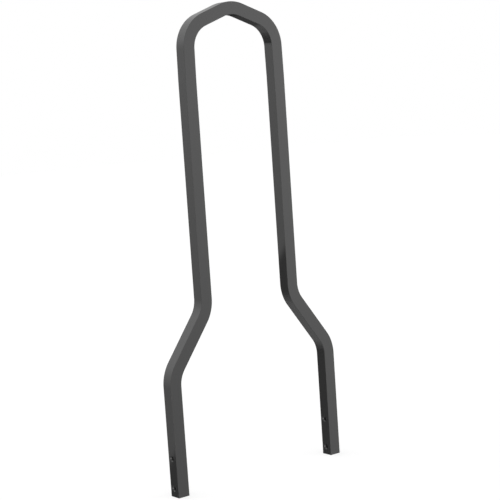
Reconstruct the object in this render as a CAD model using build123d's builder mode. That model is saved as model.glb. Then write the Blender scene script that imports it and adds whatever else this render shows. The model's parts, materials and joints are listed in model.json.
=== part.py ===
"""Sissy bar: one solid square steel bar, bent in one plane into a tall gabled hoop.

Frame: X runs across the bike, Y fore and aft, Z up along the legs.
The origin is on the ground plane of the feet, midway between the two legs.
All sizes are in millimetres.
"""

import os

from build123d import *

# Bar stock: 5/8 inch square bar with its coat of paint
bar_size = 16.1
long_edge_radius = 0.3
foot_edge_chamfer = 0.2

# Spacing of the legs, from centreline to centreline
lower_leg_spacing = 251.1
upper_leg_spacing = 139.7
shoulder_spacing = 137.6

# Heights of the centreline's corners above the feet, before the bends round them off
lower_bend_height = 152.0
upper_bend_height = 226.7
lean_height = 509.3
shoulder_height = 575.5
apex_height = 600.8

# Bend radii, on the centreline
offset_bend_radius = 41.8
lean_bend_radius = 147.0
shoulder_bend_radius = 37.7
apex_bend_radius = 42.9

# Mounting holes, drilled across each leg a little behind its middle
hole_diameter = 5.1
hole_mouth_chamfer = 1.2
hole_setback = 1.0
lower_hole_height = 10.7
hole_pitch = 38.1

# Right half of the centreline, from the foot up to the shoulder
right_corners = [
    (lower_leg_spacing / 2, 0),
    (lower_leg_spacing / 2, lower_bend_height),
    (upper_leg_spacing / 2, upper_bend_height),
    (upper_leg_spacing / 2, lean_height),
    (shoulder_spacing / 2, shoulder_height),
]
right_radii = [offset_bend_radius, offset_bend_radius, lean_bend_radius, shoulder_bend_radius]

# Whole centreline, from the left foot over the apex to the right foot
left_corners = [(-x, z) for x, z in right_corners]
corners = left_corners + [(0, apex_height)] + right_corners[::-1]
bend_radii = right_radii + [apex_bend_radius] + right_radii[::-1]

hole_heights = [lower_hole_height, lower_hole_height + hole_pitch]
half_width = (lower_leg_spacing + bar_size) / 2

os.makedirs("parts", exist_ok=True)

with BuildPart() as sissy_bar:
    # The bar's rounded square section follows the bent centreline
    with BuildLine(Plane.XZ):
        centreline = FilletPolyline(*corners, radius=bend_radii)
    with BuildSketch(Plane(origin=centreline @ 0, x_dir=(1, 0, 0), z_dir=centreline % 0)):
        RectangleRounded(bar_size, bar_size, long_edge_radius)
    sweep()
    chamfer(sissy_bar.faces().group_by(Axis.Z)[0].edges(), foot_edge_chamfer)

    # The holes go through both legs, with a chamfer at each mouth
    with BuildSketch(Plane.YZ):
        with Locations(*[(hole_setback, height) for height in hole_heights]):
            Circle(hole_diameter / 2)
    extrude(amount=half_width, both=True, mode=Mode.SUBTRACT)
    mouths = sissy_bar.edges(Select.LAST).filter_by(GeomType.CIRCLE)
    chamfer(mouths, hole_mouth_chamfer)

sissy_bar.part.label = "sissy_bar"
export_step(sissy_bar.part, "parts/sissy_bar.step")
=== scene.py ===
"""Sissy bar in gloss black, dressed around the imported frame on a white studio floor.

Everything is in metres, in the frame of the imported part: X across the legs, Y through the bar, Z up.
"""

import json
import math

import bmesh
import bpy
from mathutils import Matrix, Vector


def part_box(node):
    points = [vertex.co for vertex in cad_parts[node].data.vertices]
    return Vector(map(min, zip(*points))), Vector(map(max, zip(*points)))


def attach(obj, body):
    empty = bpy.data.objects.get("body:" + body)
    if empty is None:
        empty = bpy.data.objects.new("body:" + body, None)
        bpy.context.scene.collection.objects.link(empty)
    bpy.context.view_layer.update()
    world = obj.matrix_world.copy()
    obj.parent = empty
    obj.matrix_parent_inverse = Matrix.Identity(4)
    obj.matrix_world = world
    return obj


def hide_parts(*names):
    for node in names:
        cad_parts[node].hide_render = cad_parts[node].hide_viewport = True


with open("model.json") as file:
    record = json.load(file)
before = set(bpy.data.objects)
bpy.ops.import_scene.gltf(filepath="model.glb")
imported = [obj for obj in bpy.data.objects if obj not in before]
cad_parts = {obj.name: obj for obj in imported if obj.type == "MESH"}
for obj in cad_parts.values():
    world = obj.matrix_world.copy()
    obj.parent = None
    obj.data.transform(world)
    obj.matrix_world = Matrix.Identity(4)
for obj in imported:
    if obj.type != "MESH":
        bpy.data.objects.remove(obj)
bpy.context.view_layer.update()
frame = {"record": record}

NODE = "sissy_bar"
BODY = "root"
BORE_MARK = "bore"
MM_PER_M = 1000

# Section and leg spacing, from the frame
low_corner, high_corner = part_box(NODE)
BAR = high_corner.y - low_corner.y
LOWER_HALF = (high_corner.x - low_corner.x - BAR) / 2

# Corners and bend radii of the bar's centreline, as in the part
UPPER_HALF = 0.06985
SHOULDER_HALF = 0.0688
LOWER_BEND_HEIGHT = 0.1520
UPPER_BEND_HEIGHT = 0.2267
LEAN_HEIGHT = 0.5093
SHOULDER_HEIGHT = 0.5755
APEX_HEIGHT = 0.6008
OFFSET_BEND_RADIUS = 0.0418
LEAN_BEND_RADIUS = 0.147
SHOULDER_BEND_RADIUS = 0.0377
APEX_BEND_RADIUS = 0.0429

# Edges
LONG_EDGE_RADIUS = 0.0003
FOOT_CHAMFER = 0.0002
MOUTH_CHAMFER = 0.0012

# Fineness of the mesh, and what counts as a sharp edge and as a flat side
BEND_STEP = math.radians(1.0)
BEND_LEAD = 0.001
EDGE_STEPS = 6
HOLE_STEPS = 72
SHARP_ANGLE = math.radians(30.0)
FLAT_LEAN = 0.0001

# Plain white, and the two ends of a full change
WHITE = (1.0, 1.0, 1.0, 1.0)
FADE_IN = (0.0, 1.0)
FADE_OUT = (1.0, 0.0)
NOISE_SPAN = (0.0, 1.0)

# Powder coat: grey and roughness drift between two values, and the peel is its fine waviness
COAT_GREY = (0.0272, 0.0299)
COAT_GREY_SCALE = 30.0
COAT_GREY_DETAIL = 3.0
# Painted light in the bores: the hole walls get a lighter grey so that their shade reads less dark
BORE_PAINTED_LIGHT_GREY = 0.05
COAT_ROUGHNESS = (0.015, 0.03)
COAT_ROUGHNESS_SCALE = 55.0
COAT_ROUGHNESS_DETAIL = 4.0
PEEL_SCALE = 700.0
PEEL_DETAIL = 2.0
PEEL_STRENGTH = 0.04
PEEL_DEPTH = 0.00001

# Floor, which glows enough to show as white
FLOOR_HALF = 8.0
FLOOR_GREY = 0.3
FLOOR_ROUGHNESS = 0.9
FLOOR_GLOW = 0.72

# Studio wall: each span is a stretch of a direction's X, Y or Z, with the light at its two ends
WALL_HEIGHT_SPAN = (-0.27, 0.34)
WALL_LIGHT = (0.44, 1.39)
WALL_RIGHT_SPAN = (-0.28, 0.6)
WALL_RIGHT_FADE = (1.0, 0.52)
WALL_FAR_RIGHT_SPAN = (0.32, 0.6)
WALL_FAR_RIGHT_FADE = (1.0, 0.68)

# Edges of the bright sweep on the wall: slants in Y and X, and how far each edge is spread
SWEEP_DEPTH_SLANT = 1.1186
SWEEP_LEFT_SLANT = 1.1885
SWEEP_LEFT_SPAN = (-0.0042, 0.0042)
SWEEP_RIGHT_SLANT = -1.5
SWEEP_RIGHT_SPAN = (-0.20, 0.12)

# Room above the horizon
HORIZON_SPAN = (-0.02, 0.15)
CEILING_DEPTH_SPAN = (0.25, 0.65)
CEILING_LIGHT = (0.45, 1.0)

# Ground
GROUND_HEIGHT_SPAN = (-0.66, -0.39)
GROUND_LIGHT = (0.40, 0.03)
GROUND_RIGHT_SPAN = (0.2, 0.5)
GROUND_RIGHT_FADE = (1.0, 0.5)

# Front of the room
FRONT_DEPTH_SPAN = (-0.5, -0.1)
FRONT_HEIGHT_SPAN = (-0.5, 0.01)
FRONT_LIGHT = (0.55, 1.665)
FRONT_RIGHT_SPAN = (0.5, 0.7)
FRONT_RIGHT_GAIN = (0.80, 1.16)

# Softbox, by the cosine of the angle from its middle
SOFTBOX_AIM = Vector((-0.80, -0.54, -0.25)).normalized()
SOFTBOX_SPAN = (0.90, 0.96)
SOFTBOX_LIGHT = (0.0, 2.8)

# Camera, fitted to the photograph
CAMERA_AZIMUTH = math.radians(37.814)
CAMERA_ELEVATION = math.radians(6.459)
CAMERA_ROLL = math.radians(3.871)
CAMERA_DISTANCE = 1.75031
CAMERA_TARGET = Vector((0.00958, 0.0, 0.29186))
FOCAL_PIXELS = 1367.286
IMAGE_PIXELS = 500
SENSOR = 36.0


def centreline():
    """Points of the bent centreline with their directions, from the left foot to the right foot."""
    right = [
        (LOWER_HALF, 0.0),
        (LOWER_HALF, LOWER_BEND_HEIGHT),
        (UPPER_HALF, UPPER_BEND_HEIGHT),
        (UPPER_HALF, LEAN_HEIGHT),
        (SHOULDER_HALF, SHOULDER_HEIGHT),
    ]
    radii = [OFFSET_BEND_RADIUS, OFFSET_BEND_RADIUS, LEAN_BEND_RADIUS, SHOULDER_BEND_RADIUS]
    corners = [Vector((-x, z)) for x, z in right] + [Vector((0.0, APEX_HEIGHT))]
    corners += [Vector(corner) for corner in reversed(right)]
    radii = radii + [APEX_BEND_RADIUS] + radii[::-1]
    stations = [(corners[0], (corners[1] - corners[0]).normalized())]
    for before, corner, after, radius in zip(corners, corners[1:], corners[2:], radii):
        stations += bend(before, corner, after, radius)
    stations.append((corners[-1], (corners[-1] - corners[-2]).normalized()))
    return stations


def bend(before, corner, after, radius):
    """Stations along the arc that rounds off one corner, and one on the straight run at each end."""
    into = (corner - before).normalized()
    out = (after - corner).normalized()
    turn = math.atan2(into.x * out.y - into.y * out.x, into.dot(out))
    side = math.copysign(1.0, turn)
    start = corner - into * (radius * math.tan(abs(turn) / 2))
    centre = start + Vector((-into.y, into.x)) * (side * radius)
    steps = math.ceil(abs(turn) / BEND_STEP)
    stations = [(start - into * BEND_LEAD, into)]
    for step in range(steps + 1):
        spin = Matrix.Rotation(turn * step / steps, 2)
        stations.append((centre + spin @ (start - centre), spin @ into))
    end = stations[-1][0]
    stations.append((end + out * BEND_LEAD, out))
    return stations


def section(inset):
    """Corner-rounded square section as (sideways, fore-and-aft) offsets, drawn in by inset."""
    half = BAR / 2 - LONG_EDGE_RADIUS
    radius = LONG_EDGE_RADIUS - inset
    offsets = []
    for quarter in range(4):
        for step in range(EDGE_STEPS + 1):
            angle = math.pi / 2 * (quarter + step / EDGE_STEPS)
            middle = math.pi / 2 * (quarter + 0.5)
            across = math.copysign(half, math.cos(middle)) + radius * math.cos(angle)
            along = math.copysign(half, math.sin(middle)) + radius * math.sin(angle)
            offsets.append((across, along))
    return offsets


def ring(mesh, station, offsets):
    """One ring of vertices around the centreline."""
    point, direction = station
    sideways = Vector((direction.y, -direction.x))
    vertices = []
    for across, along in offsets:
        place = point + sideways * across
        vertices.append(mesh.verts.new((place.x, along, place.y)))
    return vertices


def bar_mesh():
    """The bent bar as one closed mesh, before drilling."""
    mesh = bmesh.new()
    stations = centreline()
    full = section(0.0)
    cut = section(FOOT_CHAMFER)
    first, last = stations[0], stations[-1]
    stations[0] = (first[0] + first[1] * FOOT_CHAMFER, first[1])
    stations[-1] = (last[0] - last[1] * FOOT_CHAMFER, last[1])
    rings = [ring(mesh, first, cut)]
    rings += [ring(mesh, station, full) for station in stations]
    rings.append(ring(mesh, last, cut))
    join_rings(mesh, rings)
    return mesh


def join_rings(mesh, rings):
    """Joins rings of vertices into one closed skin with an end cap on the first and the last."""
    count = len(rings[0])
    for here, there in zip(rings, rings[1:]):
        for i in range(count):
            j = (i + 1) % count
            mesh.faces.new((here[i], here[j], there[j], there[i]))
    mesh.faces.new(rings[0][::-1])
    mesh.faces.new(rings[-1])
    bmesh.ops.recalc_face_normals(mesh, faces=mesh.faces[:])


def hole_places():
    """Centre and radius of each mounting hole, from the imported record's bolt patterns."""
    places = []
    for mount in frame["record"]["mounts"]:
        if mount["kind"] == "bolt_pattern":
            radius = mount["dims"]["hole_r_mm"] / MM_PER_M
            half_pitch = mount["dims"]["spacing_y_mm"] / MM_PER_M / 2
            centre = Vector(mount["pos_m"])
            for side in (-1, 1):
                places.append((centre + Vector((0.0, 0.0, side * half_pitch)), radius))
    return places


def drill_mesh():
    """Cutters for the holes: round bars along X that flare at both mouths."""
    mesh = bmesh.new()
    overshoot = BAR / 8
    reach = BAR / 2 + overshoot
    neck = BAR / 2 - MOUTH_CHAMFER
    for centre, radius in hole_places():
        flare = radius + MOUTH_CHAMFER + overshoot
        rings = []
        for along, size in ((-reach, flare), (-neck, radius), (neck, radius), (reach, flare)):
            circle = []
            for step in range(HOLE_STEPS):
                angle = 2 * math.pi * step / HOLE_STEPS
                spoke = Vector((along, size * math.cos(angle), size * math.sin(angle)))
                circle.append(mesh.verts.new(centre + spoke))
            rings.append(circle)
        join_rings(mesh, rings)
    return mesh


def new_object(name, mesh):
    """Puts a bmesh into the scene as an object."""
    data = bpy.data.meshes.new(name)
    mesh.to_mesh(data)
    mesh.free()
    piece = bpy.data.objects.new(name, data)
    bpy.context.scene.collection.objects.link(piece)
    return piece


def is_flat(face):
    """Whether a face belongs to one of the bar's four sides, and not to a rounded edge or a hole."""
    lean = abs(face.normal.y)
    return lean < FLAT_LEAN or lean > 1.0 - FLAT_LEAN


def shade(data):
    """Smooth shading along the bends and round the edges, with a hard border around each flat side."""
    mesh = bmesh.new()
    mesh.from_mesh(data)
    for face in mesh.faces:
        face.smooth = True
    for edge in mesh.edges:
        one, other = edge.link_faces
        edge.smooth = edge.calc_face_angle() < SHARP_ANGLE and is_flat(one) == is_flat(other)
    mesh.to_mesh(data)
    mesh.free()


def mark_bores(data):
    """Marks the hole walls on the mesh, for the painted light there: a lighter grey that lifts their
    shade.
    """
    mark = data.attributes.new(BORE_MARK, "FLOAT", "FACE")
    places = hole_places()
    for face in data.polygons:
        for centre, radius in places:
            spoke = face.center - centre
            within = spoke.yz.length < radius and abs(spoke.x) < BAR / 2
            if within and abs(face.normal.x) < FLAT_LEAN:
                mark.data[face.index].value = 1.0


def build_bar():
    """The drilled bar as one object."""
    bar = new_object("bent_bar", bar_mesh())
    drill = new_object("drill", drill_mesh())
    cut = bar.modifiers.new("holes", "BOOLEAN")
    cut.operation = "DIFFERENCE"
    cut.solver = "EXACT"
    cut.object = drill
    graph = bpy.context.evaluated_depsgraph_get()
    drilled = bpy.data.meshes.new_from_object(bar.evaluated_get(graph))
    bar.modifiers.clear()
    bar.data = drilled
    bpy.data.objects.remove(drill)
    shade(drilled)
    mark_bores(drilled)
    return bar


def link(tree, source, target):
    """Joins two node sockets."""
    tree.links.new(source, target)


def math_node(tree, operation, first, second, third=None):
    """A math node on sockets or plain numbers."""
    node = tree.nodes.new("ShaderNodeMath")
    node.operation = operation
    for socket, value in zip(node.inputs, (first, second, third)):
        if isinstance(value, (int, float)):
            socket.default_value = value
        elif value is not None:
            link(tree, value, socket)
    return node.outputs[0]


def product(tree, *values):
    """All the given sockets multiplied together."""
    result = values[0]
    for value in values[1:]:
        result = math_node(tree, "MULTIPLY", result, value)
    return result


def ramp(tree, value, span, levels):
    """A steady change from the first level to the second, as a socket's value crosses the span."""
    node = tree.nodes.new("ShaderNodeMapRange")
    node.inputs["From Min"].default_value = span[0]
    node.inputs["From Max"].default_value = span[1]
    node.inputs["To Min"].default_value = levels[0]
    node.inputs["To Max"].default_value = levels[1]
    link(tree, value, node.inputs["Value"])
    return node.outputs["Result"]


def noise(tree, coordinates, scale, detail):
    """A noise texture on the given coordinates."""
    node = tree.nodes.new("ShaderNodeTexNoise")
    node.inputs["Scale"].default_value = scale
    node.inputs["Detail"].default_value = detail
    link(tree, coordinates, node.inputs["Vector"])
    return node.outputs["Fac"]


def black_coat():
    """Gloss black powder coat with faint orange peel, and painted light in the bores: a lighter grey
    that lifts their shade.
    """
    material = bpy.data.materials.new("black_coat")
    material.use_nodes = True
    tree = material.node_tree
    shader = tree.nodes["Principled BSDF"]
    place = tree.nodes.new("ShaderNodeTexCoord").outputs["Object"]

    tone = ramp(tree, noise(tree, place, COAT_GREY_SCALE, COAT_GREY_DETAIL), NOISE_SPAN, COAT_GREY)
    # Painted light: the marked hole walls get a lighter grey in place of light that their deep shade
    # keeps out
    bore = tree.nodes.new("ShaderNodeAttribute")
    bore.attribute_name = BORE_MARK
    bore_painted_light = math_node(tree, "MULTIPLY", bore.outputs["Fac"], BORE_PAINTED_LIGHT_GREY)
    link(tree, math_node(tree, "MAXIMUM", tone, bore_painted_light), shader.inputs["Base Color"])

    drift = noise(tree, place, COAT_ROUGHNESS_SCALE, COAT_ROUGHNESS_DETAIL)
    link(tree, ramp(tree, drift, NOISE_SPAN, COAT_ROUGHNESS), shader.inputs["Roughness"])

    peel = tree.nodes.new("ShaderNodeBump")
    peel.inputs["Strength"].default_value = PEEL_STRENGTH
    peel.inputs["Distance"].default_value = PEEL_DEPTH
    link(tree, noise(tree, place, PEEL_SCALE, PEEL_DETAIL), peel.inputs["Height"])
    link(tree, peel.outputs["Normal"], shader.inputs["Normal"])
    return material


def build_floor():
    """Wide white floor under the feet. It lights the bar, but the gloss doesn't mirror it."""
    mesh = bmesh.new()
    bmesh.ops.create_grid(mesh, x_segments=1, y_segments=1, size=FLOOR_HALF)
    floor = new_object("floor", mesh)
    material = bpy.data.materials.new("white_floor")
    material.use_nodes = True
    shader = material.node_tree.nodes["Principled BSDF"]
    shader.inputs["Base Color"].default_value = (FLOOR_GREY, FLOOR_GREY, FLOOR_GREY, 1.0)
    shader.inputs["Roughness"].default_value = FLOOR_ROUGHNESS
    shader.inputs["Specular IOR Level"].default_value = 0.0
    shader.inputs["Emission Color"].default_value = WHITE
    shader.inputs["Emission Strength"].default_value = FLOOR_GLOW
    floor.data.materials.append(material)
    floor.visible_glossy = False


def wall_light(tree, across, depth, up):
    """Sweep behind the bar, which narrows downward between two slanted edges, and the room above.

    Above the horizon the room is as bright as the sweep where it lies behind the bar. It is dimmer
    overhead and to the sides.
    """
    height = ramp(tree, up, WALL_HEIGHT_SPAN, WALL_LIGHT)
    toward_right = ramp(tree, across, WALL_RIGHT_SPAN, WALL_RIGHT_FADE)
    far_right = ramp(tree, across, WALL_FAR_RIGHT_SPAN, WALL_FAR_RIGHT_FADE)
    wall = product(tree, height, toward_right, far_right)

    rise = math_node(tree, "MULTIPLY_ADD", depth, SWEEP_DEPTH_SLANT, up)
    from_left = math_node(tree, "MULTIPLY_ADD", across, SWEEP_LEFT_SLANT, rise)
    from_right = math_node(tree, "MULTIPLY_ADD", across, SWEEP_RIGHT_SLANT, rise)
    left_edge = ramp(tree, from_left, SWEEP_LEFT_SPAN, FADE_IN)
    right_edge = ramp(tree, from_right, SWEEP_RIGHT_SPAN, FADE_IN)
    sweep = product(tree, wall, left_edge, right_edge)

    above = ramp(tree, up, HORIZON_SPAN, FADE_IN)
    behind = ramp(tree, depth, CEILING_DEPTH_SPAN, CEILING_LIGHT)
    ceiling = product(tree, wall, above, behind)
    return math_node(tree, "MAXIMUM", sweep, ceiling)


def ground_light(tree, across, up):
    """Faint glow of the ground toward the bar's foot."""
    below = ramp(tree, up, GROUND_HEIGHT_SPAN, GROUND_LIGHT)
    toward_right = ramp(tree, across, GROUND_RIGHT_SPAN, GROUND_RIGHT_FADE)
    return product(tree, below, toward_right)


def front_light(tree, across, depth, up):
    """The front of the room, which is brightest and lit to below the horizon."""
    front = ramp(tree, depth, FRONT_DEPTH_SPAN, FADE_OUT)
    height = ramp(tree, up, FRONT_HEIGHT_SPAN, FRONT_LIGHT)
    toward_right = ramp(tree, across, FRONT_RIGHT_SPAN, FRONT_RIGHT_GAIN)
    return product(tree, front, height, toward_right)


def softbox_light(tree, direction):
    """A softbox that stands low in front, to the left."""
    aim = tree.nodes.new("ShaderNodeVectorMath")
    aim.operation = "DOT_PRODUCT"
    aim.inputs[1].default_value = SOFTBOX_AIM
    link(tree, direction, aim.inputs[0])
    return ramp(tree, aim.outputs["Value"], SOFTBOX_SPAN, SOFTBOX_LIGHT)


def build_studio():
    """White surround for the camera, and for the bar a studio room that its gloss mirrors."""
    world = bpy.data.worlds.new("studio")
    bpy.context.scene.world = world
    world.use_nodes = True
    tree = world.node_tree
    tree.nodes.clear()
    direction = tree.nodes.new("ShaderNodeTexCoord").outputs["Generated"]
    split = tree.nodes.new("ShaderNodeSeparateXYZ")
    link(tree, direction, split.inputs["Vector"])
    across, depth, up = split.outputs

    # Each direction shows the brightest of the lights there
    lit = wall_light(tree, across, depth, up)
    others = (
        ground_light(tree, across, up),
        front_light(tree, across, depth, up),
        softbox_light(tree, direction),
    )
    for light in others:
        lit = math_node(tree, "MAXIMUM", lit, light)

    room = tree.nodes.new("ShaderNodeBackground")
    link(tree, lit, room.inputs["Strength"])
    white = tree.nodes.new("ShaderNodeBackground")
    white.inputs["Strength"].default_value = 1.0
    for background in (room, white):
        background.inputs["Color"].default_value = WHITE
    choose = tree.nodes.new("ShaderNodeMixShader")
    link(tree, tree.nodes.new("ShaderNodeLightPath").outputs["Is Camera Ray"], choose.inputs["Fac"])
    link(tree, room.outputs["Background"], choose.inputs[1])
    link(tree, white.outputs["Background"], choose.inputs[2])
    output = tree.nodes.new("ShaderNodeOutputWorld")
    link(tree, choose.outputs["Shader"], output.inputs["Surface"])


def build_camera():
    """Camera at the photograph's place, turned by its small roll."""
    data = bpy.data.cameras.new("camera")
    data.sensor_width = SENSOR
    data.lens = SENSOR * FOCAL_PIXELS / IMAGE_PIXELS
    camera = bpy.data.objects.new("camera", data)
    level = math.cos(CAMERA_ELEVATION)
    back = Vector((
        -math.sin(CAMERA_AZIMUTH) * level,
        -math.cos(CAMERA_AZIMUTH) * level,
        math.sin(CAMERA_ELEVATION),
    ))
    upright = back.to_track_quat("Z", "Y").to_matrix()
    turned = upright @ Matrix.Rotation(-CAMERA_ROLL, 3, "Z")
    camera.matrix_world = Matrix.Translation(CAMERA_TARGET + back * CAMERA_DISTANCE) @ turned.to_4x4()
    bpy.context.scene.collection.objects.link(camera)
    bpy.context.scene.camera = camera
    bpy.context.scene.view_settings.view_transform = "Standard"


bar = build_bar()
bar.data.materials.clear()
bar.data.materials.append(black_coat())
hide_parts(NODE)
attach(bar, BODY)
build_floor()
build_studio()
build_camera()
